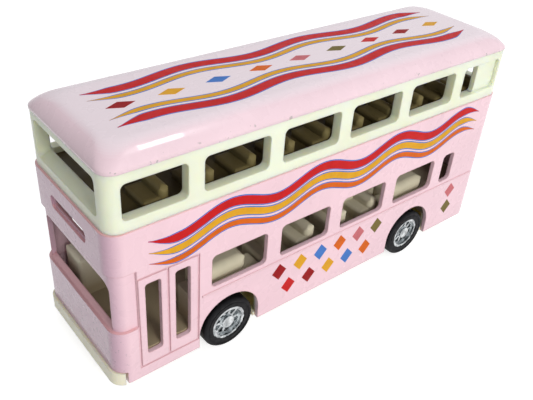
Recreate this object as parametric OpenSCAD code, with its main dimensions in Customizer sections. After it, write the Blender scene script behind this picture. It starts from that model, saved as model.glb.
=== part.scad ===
// Toy double-decker bus with an open window band, seated decks and a pull-back motor.
// Millimetres. +X is forward, +Y is the door side, +Z is up, z = 0 is the floor under the tyres.

/* [Body] */
// Length of the lower body
body_length = 124.4; // [123:0.1:127]
// Width of the lower body
body_width = 35.8; // [35.4:0.1:37]
// Height of the skirt above the floor
skirt_height = 4.2; // [4:0.1:4.4]
// Height of the lower body's top rim
rim_height = 46.1; // [45.6:0.1:47]
// Plan radius of the upright corners
corner_radius = 3.6; // [3.3:0.1:4]
// Wall of the lower body
body_wall = 1.2; // [1.1:0.05:1.3]
// How far the bumper stands out in front
bumper_reach = 0.6; // [0.4:0.1:1]
// Height of the bumper
bumper_height = 3.6; // [3.2:0.1:3.9]
// Depth of the sunk surround of the windscreen
recess_depth = 0.7; // [0.5:0.1:0.9]

/* [Upper deck] */
// Height of the window band
band_height = 13.4; // [13:0.1:14]
// Wall of the window band
band_wall = 2.6; // [2.4:0.1:2.8]
// Step between the lower body and the window band
band_step = 0.3; // [0.2:0.1:0.5]
// Rise of the roof above the window band
roof_rise = 3.8; // [3.4:0.1:4.4]
// Radius of the roof's side shoulders
side_shoulder = 8; // [7:0.5:9]
// Radius of the roof's front and rear shoulders
end_shoulder = 6; // [5:0.5:7]

/* [Windows] */
// Rise of the upper windows above the body rim
upper_sill_rise = 2.6; // [2.2:0.1:2.8]
// Height of the upper windows
upper_window_height = 8.5; // [8:0.1:8.8]
// Distance from one upper pillar to the next
upper_pitch = 20.8; // [20.5:0.1:21]
// Width of an upper pillar
upper_pillar = 3.8; // [3.4:0.1:4.2]
// Height of the lower windows above the floor
lower_sill = 21.7; // [21.5:0.1:22.4]
// Height of the lower windows
lower_window_height = 9.2; // [8.8:0.1:9.6]
// Distance from one lower window to the next
lower_pitch = 20.2; // [20:0.1:20.4]
// Width of a lower window
lower_window_width = 15.9; // [15.4:0.1:16.3]
// Width of one door window
door_window_width = 3.9; // [3.5:0.1:4.1]
// Width of the windscreen
windscreen_width = 30.4; // [29:0.1:31]
// Width of the destination slot
blind_width = 15; // [13:0.5:16]

/* [Wheels] */
// Radius of a tyre
tyre_radius = 7.2; // [7.1:0.05:7.3]
// Width of a tyre
tyre_width = 5.2; // [5:0.1:5.4]
// Radius of a hub
hub_radius = 4.8; // [4.6:0.05:5]
// Number of hub spokes
hub_spokes = 10; // [8:1:12]
// Distance from the front face to the front axle
front_overhang = 30.3; // [30:0.1:30.6]
// Distance between the axles
wheelbase = 64.7; // [64.4:0.1:65.2]
// Radius of an axle
axle_radius = 1; // [0.9:0.05:1.05]
// Radius of a wheel arch
arch_radius = 8.8; // [8.6:0.1:9]

/* [Motor] */
// Module of the gear teeth
gear_module = 0.5; // [0.49:0.01:0.51]
// Teeth of the two pinions
pinion_teeth = 10; // [10:1:11]
// Teeth of the transfer wheel
transfer_teeth = 22; // [21:1:22]
// Teeth of the spring wheel
spring_teeth = 26; // [25:1:26]
// Turns of the mainspring
spring_turns = 5; // [4:1:6]

/* [Hidden] */
$fn = 48;

// Colours
body_pink = [0.95, 0.80, 0.83];
cream = [0.93, 0.92, 0.80];
chrome = [0.80, 0.81, 0.82];
rubber_black = [0.06, 0.06, 0.07];
steel = [0.62, 0.63, 0.65];
motor_grey = [0.30, 0.31, 0.33];
gear_white = [0.90, 0.89, 0.85];

// Amounts that recur: cut-through, seating gap, press fit, running fit, free space
over = 1;
seat_gap = 0.1;
press = 0.03;
running_gap = 0.05;
free_gap = 0.35;
merge = 0.5;
least_round = 0.5;

// Plan of the body
front_x = (body_length - bumper_reach) / 2;
rear_x = front_x - body_length;
mid_x = (front_x + rear_x) / 2;
half_width = body_width / 2;
front_axle_x = front_x - front_overhang;
rear_axle_x = front_axle_x - wheelbase;
axle_z = tyre_radius;
axle_xs = [front_axle_x, rear_axle_x];

// Window band and roof
front_step_extra = 0.2;
band_top = rim_height + band_height;
band_front_step = band_step + front_step_extra;
band_front = front_x - band_front_step;
band_rear = rear_x + band_step;
band_half = half_width - band_step;
band_inner = band_half - band_wall;
band_round = corner_radius - band_step;
end_post = 0.7;
upper_sill = rim_height + upper_sill_rise;
upper_head = upper_sill + upper_window_height;
upper_front_edge = band_front - band_wall - end_post;
upper_rear_edge = band_rear + band_wall + end_post;
first_pillar_gap = 20.65;
last_window_least = 8;
upper_first_pillar = front_x - first_pillar_gap;
upper_run = upper_first_pillar - upper_pillar / 2 - upper_rear_edge - last_window_least;
upper_pillars = 1 + floor(upper_run / upper_pitch);
front_frame = 3.1;
front_head_rise = 0.6;
front_window_margin = 1.3;
front_sill_rise = 0.8;
front_sill_lead = 0.3;
front_head = upper_head + front_head_rise;
rear_window_margin = 2.6;
roof_height = band_top + roof_rise;
roof_lip = 0.6;
roof_wall = 1.3;
roof_lap = 1.5;
roof_overhang = 0.15;
spigot_wall = 0.8;

// Lower body openings
window_round = 1.3;
lower_head = lower_sill + lower_window_height;
lower_first_gap = 32.6;
lower_first = front_x - lower_first_gap;
small_window_gap = 16.8;
small_window_width = 4.9;
small_window_x = rear_x + small_window_gap;
lower_pillar_least = 3;
lower_run = lower_first - small_window_x - (lower_window_width + small_window_width) / 2 - lower_pillar_least;
lower_windows = 1 + floor(lower_run / lower_pitch);
cab_window_gap = 13;
cab_window_x = front_x - cab_window_gap;
cab_window_width = 11;
recess_drop = 1.9;
recess_rise = 4.8;
recess_reach = 5.9;
recess_bottom = lower_sill - recess_drop;
recess_top = lower_head + recess_rise;
recess_rear = front_x - recess_reach;
backing_lap = 1;
screen_lift = 0.7;
screen_rise = 1.8;
screen_bottom = recess_bottom + screen_lift;
screen_top = lower_head + screen_rise;
screen_round = 2;
screen_inner = front_x - recess_depth - body_wall;
blind_lift = 4.9;
blind_z = recess_top + blind_lift;
blind_height = 2;
blind_round = 0.6;
blind_bevel = 0.7;
blind_bevel_depth = 0.6;
door_sill = 10.8;
door_head_lift = 0.4;
door_head = lower_head + door_head_lift;
door_round = 0.8;
first_leaf_gap = 9.6;
second_leaf_gap = 17;
door_middle_gap = 13.3;
door_rear_gap = 21.1;
door_leaf_xs = [front_x - first_leaf_gap, front_x - second_leaf_gap];
door_line_xs = [recess_rear, front_x - door_middle_gap, front_x - door_rear_gap];
door_line = 0.45;
door_line_depth = 0.35;
door_bottom = 7.2;
door_top_lift = 2.2;
door_top = door_head + door_top_lift;
bead_height = 0.5;
bead_depth = 0.2;
bead_drop = 1.6;
arch_lift = 0.7;
arch_z = axle_z + arch_lift;
rim_flange = 3.4;
rim_flange_height = 1.6;
grille_lines = 5;
grille_width = 18;
grille_pitch = 1.9;
grille_line = 0.8;
grille_depth = 0.4;
grille_bottom = 9.5;

// Chassis
chassis_thick = 1;
chassis_floor = skirt_height + chassis_thick;
chassis_inset = body_wall + seat_gap;
chassis_rim = 1;
chassis_rim_top = 10;
bumper_drop = 0.2;
bumper_bottom = skirt_height - bumper_drop;
bumper_top = bumper_bottom + bumper_height;
bumper_notch = 0.6;
bumper_wrap = 1.9;
bumper_tie = 4;
wheel_inset = 0.2;
wheel_face = half_width - wheel_inset;
well_gap = 0.6;
well_inner = wheel_face - tyre_width - well_gap;
well_clear = 1;
well_half = tyre_radius + well_clear;
bearing_width = 2.2;
bearing_inner = well_inner - well_gap - bearing_width;
bearing_half = 2.3;
bearing_cap = 1.2;
bearing_top = axle_z + axle_radius + bearing_cap;
boss_radius = 2.2;
boss_drop = 0.4;
boss_top = chassis_rim_top - boss_drop;
boss_inset = 6.5;
boss_web = 1.6;
boss_xs = [front_x - boss_inset, rear_x + boss_inset];
screw_radius = 0.9;
screw_head = 1.9;
screw_sink = 0.5;
screw_length = 4;
head_gap = 0.15;

// Seats of both decks
seat_width = 8.2;
seat_sink = 0.7;
cushion_depth = 5;
cushion_round = 0.9;
back_end_round = 1.4;
back_roundness = 0.45;

// Lower deck
deck_ease = 0.05;
deck_inset = chassis_inset + deck_ease;
deck_thick = 1.2;
deck_wall = 1;
entry_floor = chassis_rim_top;
platform = 16;
platform_step = 0.4;
platform_front = front_x - door_rear_gap - platform_step;
box_clear = 0.4;
box_half = arch_radius + box_clear;
box_top = 20;
box_gap = 0.3;
box_space = well_inner - box_gap;
box_inner = box_space - deck_wall;
bench_top = 23.8;
bench_width = 7.4;
bench_gap = 1.9;
bench_y = half_width - body_wall - bench_gap - bench_width / 2;
bench_reach = 7;
bench_round = 2;
lower_seat_gap = 1.8;
lower_seat_y = half_width - body_wall - lower_seat_gap - seat_width / 2;
lower_row_gap = 8.95;
lower_row_first = front_axle_x - bench_reach - lower_row_gap;
lower_row_pitch = 11.65;
lower_row_space = 4;
lower_row_run = lower_row_first - rear_axle_x - bench_reach - lower_row_space;
lower_rows = 1 + floor(lower_row_run / lower_row_pitch);
lower_cushion = 20.6;
lower_back = 23.5;
lower_back_thick = 3.2;
cab_block_gap = 4;
cab_block_length = 8;
cab_block_x = front_x - cab_block_gap - cab_block_length / 2;
cab_block_top = 22.2;
cab_block_round = 1.2;

// Upper deck
upper_floor_thick = 1.2;
upper_floor = rim_height + upper_floor_thick;
upper_seat_gap = 0.4;
upper_seat_y = band_inner - upper_seat_gap - seat_width / 2;
upper_row_gap = 15;
upper_row_first = front_x - upper_row_gap;
upper_row_pitch = 11.2;
upper_row_space = 4;
upper_row_run = upper_row_first - band_rear - band_wall - upper_row_space;
upper_rows = 1 + floor(upper_row_run / upper_row_pitch);
upper_cushion_rise = 1.6;
upper_back_rise = 3.9;
upper_cushion = upper_floor + upper_cushion_rise;
upper_back = upper_floor + upper_back_rise;
upper_back_thick = 2.4;

// Wheels
tyre_round = 0.8;
tyre_line = 0.3;
tyre_line_depth = 0.12;
tyre_line_out = 1.1;
hub_inset = 0.2;
hub_width = tyre_width - 2 * hub_inset;
hub_rim = 0.8;
hub_dish = 0.9;
hub_web = 1.3;
hub_boss = 1.7;
hub_boss_inset = 0.4;
pocket_depth = 0.8;
pocket_gap = 0.3;
spoke_width = 0.7;
axle_inset = 1.1;
axle_end = wheel_face - axle_inset;

// Motor gears
half_turn = 180;
pressure_angle = 25;
addendum = 0.8 * gear_module;
dedendum = 1.15 * gear_module;
backlash = 0.08;
mesh_slack = 0.02;
transfer_rise = 39;
spring_rise = -6;
pinion_pitch = gear_module * pinion_teeth / 2;
transfer_pitch = gear_module * transfer_teeth / 2;
spring_pitch = gear_module * spring_teeth / 2;
transfer_reach = pinion_pitch + transfer_pitch + mesh_slack;
spring_reach = pinion_pitch + spring_pitch + mesh_slack;
transfer_x = rear_axle_x + transfer_reach * cos(transfer_rise);
transfer_z = axle_z + transfer_reach * sin(transfer_rise);
spring_x = transfer_x + spring_reach * cos(spring_rise);
spring_z = transfer_z + spring_reach * sin(spring_rise);
pin_radius = 0.6;
first_layer = [1.2, 3];
second_layer = [-1.2, 0.6];
arbor_radius = 1.5;
arbor_end = -5;

// Mainspring and motor case
spring_layer = [-5.2, -2.2];
spring_inner = arbor_radius + free_gap;
spring_outer = 5.4;
spring_strip = 0.18;
spring_step = 15;
cup_wall = 0.7;
cup_sink = 0.2;
case_wall = 0.9;
case_half = 7;
case_margin = free_gap + case_wall;
case_rear_extra = 0.8;
case_rear = rear_axle_x - pinion_pitch - addendum - case_margin - case_rear_extra;
case_front = spring_x + spring_pitch + addendum + case_margin;
case_bottom = axle_z - pinion_pitch - addendum - case_margin;
case_top = max(transfer_z + transfer_pitch, spring_z + spring_pitch) + addendum + case_margin;
case_flange = 2.2;
case_flange_thick = 1;
case_flange_half = 5;
pin_cover = 0.3;
hump_gap = 0.4;
hump_side = case_half + hump_gap;
hump_rear = case_rear - case_flange - hump_gap;
hump_front = case_front + case_flange + hump_gap;
hump_ceiling = case_top + hump_gap;

// Flat outline with round corners, centred on the origin
module rounded_rect(size_x, size_y, radius) {
    square([size_x - 2 * radius, size_y], center = true);
    square([size_x, size_y - 2 * radius], center = true);
    for (sx = [-1, 1], sy = [-1, 1])
        translate([sx * (size_x / 2 - radius), sy * (size_y / 2 - radius)]) circle(radius);
}

// The body's plan, drawn in by an even amount
module body_plan(inset) {
    translate([mid_x, 0])
        rounded_rect(body_length - 2 * inset, body_width - 2 * inset,
            max(corner_radius - inset, least_round));
}

// The window band's plan, drawn in by an even amount
module band_plan(inset) {
    translate([(band_front + band_rear) / 2, 0])
        rounded_rect(band_front - band_rear - 2 * inset, 2 * (band_half - inset),
            max(band_round - inset, least_round));
}

// A flat outline raised between two heights
module between(z0, z1) {
    translate([0, 0, z0]) linear_extrude(z1 - z0) children();
}

// A box given by its limits
module box(x0, x1, y0, y1, z0, z1) {
    translate([x0, y0, z0]) cube([x1 - x0, y1 - y0, z1 - z0]);
}

// Opening across the bus from y0 to y1, with rounded corners
module side_opening(x, width, z0, z1, radius, y0, y1) {
    translate([x, y1, (z0 + z1) / 2]) rotate([90, 0, 0])
        linear_extrude(y1 - y0) rounded_rect(width, z1 - z0, radius);
}

// Opening through both sides of the bus
module through_opening(x, width, z0, z1) {
    side_opening(x, width, z0, z1, window_round, -half_width - over, half_width + over);
}

// Opening along the bus from x0 to x1, with rounded corners
module end_opening(x0, x1, width, z0, z1, radius) {
    translate([x0, 0, (z0 + z1) / 2]) rotate([90, 0, 90])
        linear_extrude(x1 - x0) rounded_rect(width, z1 - z0, radius);
}

// Cylinder across the bus from y0 to y1
module cross_rod(x, z, radius, y0, y1) {
    translate([x, y1, z]) rotate([90, 0, 0]) cylinder(h = y1 - y0, r = radius);
}

// Wheel arch through both sides, straight below its centre
module arch_cut(x, radius) {
    cross_rod(x, arch_z, radius, -half_width - over, half_width + over);
    box(x - radius, x + radius, -half_width - over, half_width + over, 0, arch_z);
}

// Lower body: one casting with a windscreen recess, door, windows and arches
module body_shell() {
    color(body_pink) {
        difference() {
            union() {
                difference() {
                    between(skirt_height, rim_height) body_plan(0);
                    between(skirt_height - over, rim_height - rim_flange_height) body_plan(body_wall);
                    between(rim_height - rim_flange_height - over, rim_height + over) body_plan(rim_flange);
                }
                recess_backing();
            }
            body_windows();
            windscreen_cut();
            door_cut();
            grille_cut();
            for (x = axle_xs) arch_cut(x, arch_radius);
            box(front_x - bumper_wrap - bumper_notch, front_x + over, -half_width - over, half_width + over,
                0, bumper_top + seat_gap);
        }
        waist_beads();
        for (k = [0, 1]) screw_boss(boss_xs[k], k == 0 ? front_x - body_wall / 2 : rear_x + body_wall / 2);
    }
}

// Thicker wall behind the sunk windscreen surround
module recess_backing() {
    intersection() {
        difference() {
            between(recess_bottom - backing_lap, recess_top + backing_lap) body_plan(body_wall / 2);
            between(0, rim_height) body_plan(body_wall + recess_depth);
        }
        box(recess_rear, front_x, -half_width, half_width, 0, rim_height);
    }
}

// Side windows of the lower deck, with the driver's window on the right
module body_windows() {
    for (k = [0 : lower_windows - 1])
        through_opening(lower_first - k * lower_pitch, lower_window_width, lower_sill, lower_head);
    through_opening(small_window_x, small_window_width, lower_sill, lower_head);
    side_opening(cab_window_x, cab_window_width, lower_sill, lower_head, window_round, -half_width - over, 0);
}

// Windscreen with its sunk surround and sloping sill, and the slot above it
module windscreen_cut() {
    difference() {
        box(recess_rear, front_x + over, -half_width - over, half_width + over, recess_bottom, recess_top);
        between(0, rim_height) body_plan(recess_depth);
    }
    end_opening(screen_inner - over, front_x + over, windscreen_width,
        screen_bottom, screen_top, screen_round);
    translate([0, windscreen_width / 2, 0]) rotate([90, 0, 0]) linear_extrude(windscreen_width)
        polygon([[front_x, recess_bottom], [front_x - recess_depth, recess_bottom],
            [screen_inner - seat_gap, screen_bottom + seat_gap],
            [screen_inner - seat_gap, screen_bottom + screen_round],
            [front_x, screen_bottom + screen_round]]);
    end_opening(front_x - body_wall - over, front_x + over, blind_width,
        blind_z - blind_height / 2, blind_z + blind_height / 2, blind_round);
    end_opening(front_x - blind_bevel_depth, front_x + over, blind_width + 2 * blind_bevel,
        blind_z - blind_height / 2 - blind_bevel, blind_z + blind_height / 2 + blind_bevel,
        blind_round + blind_bevel);
}

// Two door leaves on the left: openings and the lines round each leaf
module door_cut() {
    depth_y = half_width - door_line_depth;
    for (x = door_leaf_xs)
        side_opening(x, door_window_width, door_sill, door_head, door_round, 0, half_width + over);
    for (x = door_line_xs)
        box(x - door_line / 2, x + door_line / 2, depth_y, half_width + over, door_bottom, door_top);
    for (z = [door_bottom, door_top - door_line])
        box(door_line_xs[2], door_line_xs[0], depth_y, half_width + over, z, z + door_line);
}

// Shallow lines on the engine panel at the rear
module grille_cut() {
    for (k = [0 : grille_lines - 1])
        box(rear_x - over, rear_x + grille_depth, -grille_width / 2, grille_width / 2,
            grille_bottom + k * grille_pitch, grille_bottom + k * grille_pitch + grille_line);
}

// Fine raised lines below the side windows
module waist_beads() {
    bead_rear = rear_x + corner_radius;
    bead_front = door_line_xs[2] - over;
    for (side = [-1, 1])
        box(bead_rear, bead_front, side * half_width - bead_depth, side * half_width + bead_depth,
            lower_sill - bead_drop, lower_sill - bead_drop + bead_height);
}

// Boss that takes a chassis screw, with a web to the end wall
module screw_boss(x, wall_x) {
    difference() {
        union() {
            between(chassis_floor, boss_top) translate([x, 0]) circle(boss_radius);
            between(bumper_top + free_gap, boss_top)
                translate([(x + wall_x) / 2, 0]) square([abs(wall_x - x), boss_web], center = true);
        }
        translate([x, 0, 0]) cylinder(h = skirt_height + screw_length, r = screw_radius - press);
    }
}

// Upper window band: a moulded ring of pillars between two rails, with a deep frame at the front window
module window_band() {
    first_edge = upper_first_pillar + upper_pillar / 2;
    last_edge = upper_first_pillar - (upper_pillars - 1) * upper_pitch - upper_pillar / 2;
    color(cream) {
        difference() {
            union() {
                difference() {
                    between(rim_height, band_top) band_plan(0);
                    between(rim_height - over, band_top + over) band_plan(band_wall);
                }
                box(band_front - front_frame, band_front - band_wall + merge,
                    -band_inner - merge, band_inner + merge, upper_floor + free_gap, front_head);
            }
            for (k = [0 : upper_pillars - 2])
                band_window(upper_first_pillar - (k + 1) * upper_pitch + upper_pillar / 2,
                    upper_first_pillar - k * upper_pitch - upper_pillar / 2);
            band_window(first_edge, upper_front_edge);
            band_window(upper_rear_edge, last_edge);
            end_opening(band_front - front_frame - over, band_front + over,
                2 * (band_inner - front_window_margin), upper_sill, front_head, window_round);
            end_opening(band_rear - over, band_rear + band_wall + over, 2 * (band_inner - rear_window_margin),
                upper_sill, upper_head, window_round);
        }
        front_sill();
    }
}

// Side window of the band between two edges, through both side walls alone
module band_window(x0, x1) {
    for (side = [-1, 1])
        side_opening((x0 + x1) / 2, x1 - x0, upper_sill, upper_head, window_round,
            side > 0 ? band_inner : -half_width - over, side > 0 ? half_width + over : -band_inner);
}

// Sill of the band's front window, rising towards the inside
module front_sill() {
    half = band_inner - front_window_margin + merge;
    front = band_front - front_sill_lead;
    back = band_front - front_frame;
    translate([0, half, 0]) rotate([90, 0, 0]) linear_extrude(2 * half)
        polygon([[front, upper_sill - merge], [back, upper_sill - merge],
            [back, upper_sill + front_sill_rise], [front, upper_sill]]);
}

// Flat-topped outline with round shoulders that end a lip's height above the band
module dome_profile(half, z0, crown, shoulder) {
    drop = crown - band_top - roof_lip;
    reach = sqrt(drop * (2 * shoulder - drop));
    translate([-half, z0]) square([2 * half, band_top + roof_lip - z0]);
    intersection() {
        translate([-half, z0]) square([2 * half, crown - z0]);
        union() {
            translate([reach - half, z0]) square([2 * (half - reach), crown - z0]);
            for (side = [-1, 1]) translate([side * (half - reach), crown - shoulder]) circle(shoulder);
        }
    }
}

// Domed solid of the roof, drawn in by an even amount, with its base at z0
module roof_dome(inset, z0) {
    length = band_front - band_rear + 2 * (roof_overhang - inset);
    half = band_half + roof_overhang - inset;
    crown = roof_height - inset;
    middle = (band_front + band_rear) / 2;
    intersection() {
        between(z0, crown) translate([middle, 0])
            rounded_rect(length, 2 * half, max(band_round + roof_overhang - inset, least_round));
        translate([middle - length / 2, 0, 0]) rotate([90, 0, 90]) linear_extrude(length)
            dome_profile(half, z0, crown, side_shoulder - inset);
        translate([middle, half, 0]) rotate([90, 0, 0]) linear_extrude(2 * half)
            dome_profile(length / 2, z0, crown, end_shoulder - inset);
    }
}

// Roof: a domed shell whose spigot locates inside the window band
module roof() {
    color(body_pink) difference() {
        union() {
            roof_dome(0, band_top);
            between(band_top - roof_lap, band_top + roof_lip) band_plan(band_wall + seat_gap);
        }
        intersection() {
            roof_dome(roof_wall, band_top - roof_lap - over);
            between(band_top - roof_lap - over, roof_height) band_plan(band_wall + seat_gap + spigot_wall);
        }
    }
}

// Outline of an upright face with round top corners
module tombstone(width, z0, z1, radius) {
    translate([-width / 2, z0]) square([width, z1 - radius - z0]);
    translate([radius - width / 2, z0]) square([width - 2 * radius, z1 - z0]);
    for (side = [-1, 1]) translate([side * (width / 2 - radius), z1 - radius]) circle(radius);
}

// Moulded block about a middle, round on top both ways and at its upright edges
module soft_block(x, y, size_x, size_y, z0, z1, round_x, round_y) {
    translate([x, y, 0]) intersection() {
        between(z0, z1) rounded_rect(size_x, size_y, min(round_x, round_y));
        translate([0, size_y / 2, 0]) rotate([90, 0, 0])
            linear_extrude(size_y) tombstone(size_x, z0, z1, round_x);
        translate([-size_x / 2, 0, 0]) rotate([90, 0, 90])
            linear_extrude(size_x) tombstone(size_y, z0, z1, round_y);
    }
}

// One seat that faces +X: a round back about x and a low cushion before it
module seat(x, y, floor_z, cushion_z, back_z, thick) {
    soft_block(x, y, thick, seat_width, floor_z - seat_sink, back_z, back_roundness * thick, back_end_round);
    soft_block(x + cushion_depth / 2, y, cushion_depth, seat_width, floor_z - seat_sink, cushion_z,
        cushion_round, cushion_round);
}

// Upper deck: floor and rows of seats in one moulding
module upper_deck() {
    color(cream) {
        between(rim_height, upper_floor) band_plan(band_wall + seat_gap);
        for (k = [0 : upper_rows - 1], side = [-1, 1])
            seat(upper_row_first - k * upper_row_pitch, side * upper_seat_y, upper_floor,
                upper_cushion, upper_back, upper_back_thick);
    }
}

// Lower deck: entrance floor, raised platform, wheel boxes with benches, motor hump, seats and cab block
module lower_deck() {
    color(cream) difference() {
        union() {
            between(entry_floor, entry_floor + deck_thick) body_plan(deck_inset);
            deck_platform();
            for (x = axle_xs, side = [-1, 1]) wheel_box(x, side);
            box(hump_rear - deck_wall, hump_front + deck_wall, -hump_side - deck_wall, hump_side + deck_wall,
                platform, hump_ceiling + deck_thick);
            for (k = [0 : lower_rows - 1], side = [-1, 1])
                seat(lower_row_first - k * lower_row_pitch, side * lower_seat_y, platform + deck_thick,
                    lower_cushion, lower_back, lower_back_thick);
            soft_block(cab_block_x, -lower_seat_y, cab_block_length, seat_width, entry_floor, cab_block_top,
                cab_block_round, cab_block_round);
        }
        box(hump_rear, hump_front, -hump_side, hump_side, 0, hump_ceiling);
        for (x = axle_xs, side = [-1, 1]) wheel_space(x, side);
    }
}

// Raised floor behind the door, carried by a riser and outer walls
module deck_platform() {
    intersection() {
        difference() {
            between(entry_floor, platform + deck_thick) body_plan(deck_inset);
            intersection() {
                between(entry_floor + deck_thick, platform) body_plan(deck_inset + deck_wall);
                box(rear_x, platform_front - deck_wall, -half_width, half_width, 0, platform);
            }
        }
        box(rear_x, platform_front, -half_width, half_width, 0, roof_height);
    }
}

// Closed box over one wheel, with a round-edged bench on top
module wheel_box(x, side) {
    outer = half_width - deck_inset;
    reach = box_half + deck_wall;
    box(x - reach, x + reach, min(side * box_inner, side * outer), max(side * box_inner, side * outer),
        entry_floor, box_top);
    soft_block(x, side * bench_y, 2 * bench_reach, bench_width, platform, bench_top,
        bench_round, bench_round);
}

// Room for one wheel under its box, open to the arch
module wheel_space(x, side) {
    outer = half_width + over;
    box(x - box_half, x + box_half, min(side * box_space, side * outer), max(side * box_space, side * outer),
        0, box_top - deck_wall);
}

// Chassis: a shallow tray with the front bumper, axle bearings and motor opening
module chassis() {
    color(cream) difference() {
        union() {
            between(skirt_height, chassis_floor) body_plan(chassis_inset);
            chassis_rim_wall();
            bumper();
            for (x = axle_xs, side = [-1, 1])
                translate([x, side * (bearing_inner + bearing_width / 2), (skirt_height + bearing_top) / 2])
                    cube([2 * bearing_half, bearing_width, bearing_top - skirt_height], center = true);
        }
        for (x = axle_xs, side = [-1, 1]) {
            cross_rod(x, axle_z, axle_radius + running_gap, -half_width, half_width);
            box(x - well_half, x + well_half, side > 0 ? well_inner : -half_width - over,
                side > 0 ? half_width + over : -well_inner, 0, chassis_rim_top + over);
        }
        box(case_rear - seat_gap, case_front + seat_gap, -case_half - seat_gap, case_half + seat_gap,
            0, chassis_rim_top);
        for (x = boss_xs) translate([x, 0, 0]) {
            cylinder(h = chassis_rim_top, r = screw_radius + seat_gap);
            cylinder(h = skirt_height + screw_sink, r = screw_head + head_gap);
        }
    }
}

// Upright rim of the tray, open at the arches and round the bosses
module chassis_rim_wall() {
    difference() {
        between(skirt_height, chassis_rim_top) body_plan(chassis_inset);
        between(chassis_floor, chassis_rim_top + over) body_plan(chassis_inset + chassis_rim);
        for (x = axle_xs) arch_cut(x, box_half);
        for (x = boss_xs)
            box(x - boss_inset, x + boss_inset, -boss_radius - free_gap, boss_radius + free_gap,
                chassis_floor, chassis_rim_top + over);
    }
}

// Bumper that wraps the front corners and stands out in front
module bumper() {
    intersection() {
        between(bumper_bottom, bumper_top) translate([bumper_reach, 0]) body_plan(0);
        box(front_x - bumper_wrap, front_x + bumper_reach + over,
            -half_width - over, half_width + over, 0, rim_height);
    }
    box(front_x - bumper_wrap - bumper_tie, front_x - bumper_wrap + merge, 2 * corner_radius - half_width,
        half_width - 2 * corner_radius, skirt_height, chassis_floor);
}

// The two screws that hold the chassis to the body
module chassis_screws() {
    color(steel) for (x = boss_xs) translate([x, 0, skirt_height]) {
        cylinder(h = screw_sink, r = screw_head);
        cylinder(h = screw_length, r = screw_radius);
    }
}

// Round axle across the bus
module axle(x) {
    color(steel) cross_rod(x, axle_z, axle_radius, -axle_end, axle_end);
}

// Places a wheel piece whose outer face lies at z = 0 and looks along +Z
module at_wheel(x, side) {
    translate([x, side * wheel_face, axle_z]) rotate([-90 * side, 0, 0]) children();
}

// Tyre with rounded shoulders and a fine line on its wall
module tyre(x, side) {
    wall = tyre_radius - hub_radius;
    color(rubber_black) at_wheel(x, side) rotate_extrude() difference() {
        union() {
            translate([hub_radius, -tyre_width]) square([wall - tyre_round, tyre_width]);
            translate([hub_radius + wall / 2, -tyre_width / 2]) rounded_rect(wall, tyre_width, tyre_round);
        }
        translate([hub_radius + tyre_line_out, -tyre_line_depth]) square([tyre_line, over]);
    }
}

// Hub with a rim, a dished web, spokes between sunk pockets and a centre boss
module hub(x, side) {
    web_top = -hub_inset - hub_dish;
    color(chrome) at_wheel(x, side) difference() {
        union() {
            translate([0, 0, -hub_inset - hub_width]) difference() {
                cylinder(h = hub_width, r = hub_radius + press);
                translate([0, 0, -over]) cylinder(h = hub_width + 2 * over, r = hub_radius - hub_rim);
            }
            translate([0, 0, web_top - hub_web]) cylinder(h = hub_web, r = hub_radius - hub_rim / 2);
            translate([0, 0, -tyre_width]) cylinder(h = tyre_width - hub_boss_inset, r = hub_boss);
        }
        for (k = [0 : hub_spokes - 1]) rotate((k + 0.5) * 360 / hub_spokes)
            translate([0, 0, web_top - pocket_depth]) linear_extrude(pocket_depth + over) hub_pocket();
        translate([0, 0, -tyre_width - over])
            cylinder(h = tyre_width + over - axle_inset, r = axle_radius - press);
    }
}

// Outline of the sunk pocket between two spokes
module hub_pocket() {
    near = hub_boss + pocket_gap;
    far = hub_radius - hub_rim - pocket_gap;
    near_half = near * sin(180 / hub_spokes) - spoke_width / 2;
    far_half = far * sin(180 / hub_spokes) - spoke_width / 2;
    polygon([[near, -near_half], [far - far_half / 2, -far_half], [far, 0], [far - far_half / 2, far_half],
        [near, near_half]]);
}

// Involute function of an angle, in degrees
function involute(angle) = tan(angle) * 180 / PI - angle;

// Half of a tooth's angle at a radius, for a gear of n teeth
function tooth_half(n, r) =
    let (pitch = gear_module * n / 2, base = pitch * cos(pressure_angle))
    90 / n - backlash / 2 / pitch * 180 / PI + involute(pressure_angle)
        - (r > base ? involute(acos(base / r)) : 0);

// Outline of a spur gear with a tooth along +X
module gear_outline(n) {
    pitch = gear_module * n / 2;
    tip = pitch + addendum;
    root = pitch - dedendum;
    start = max(pitch * cos(pressure_angle), root + merge * gear_module / 10);
    radii = [root, start, (start + pitch) / 2, pitch, (pitch + tip) / 2, tip];
    last = len(radii) - 1;
    polygon([for (k = [0 : n - 1], side = [-1, 1], j = [0 : last])
        let (r = radii[side < 0 ? j : last - j], a = k * 360 / n + side * tooth_half(n, r))
        [r * cos(a), r * sin(a)]]);
}

// Gear on a cross axis, turned so that a tooth points along an angle
module cross_gear(x, z, n, turn, layer) {
    translate([x, layer[1], z]) rotate([90, 0, 0])
        linear_extrude(layer[1] - layer[0]) rotate(turn) gear_outline(n);
}

// Pinion pressed on the rear axle
module axle_pinion() {
    color(gear_white) difference() {
        cross_gear(rear_axle_x, axle_z, pinion_teeth, transfer_rise, first_layer);
        cross_rod(rear_axle_x, axle_z, axle_radius - press, -case_half, case_half);
    }
}

// Transfer wheel with the second pinion on its side
module transfer_gear() {
    color(gear_white) difference() {
        union() {
            cross_gear(transfer_x, transfer_z, transfer_teeth,
                transfer_rise + half_turn + half_turn / transfer_teeth, first_layer);
            cross_gear(transfer_x, transfer_z, pinion_teeth, spring_rise,
                [second_layer[0], first_layer[0] + merge]);
        }
        cross_rod(transfer_x, transfer_z, pin_radius + running_gap, -case_half, case_half);
    }
}

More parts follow.
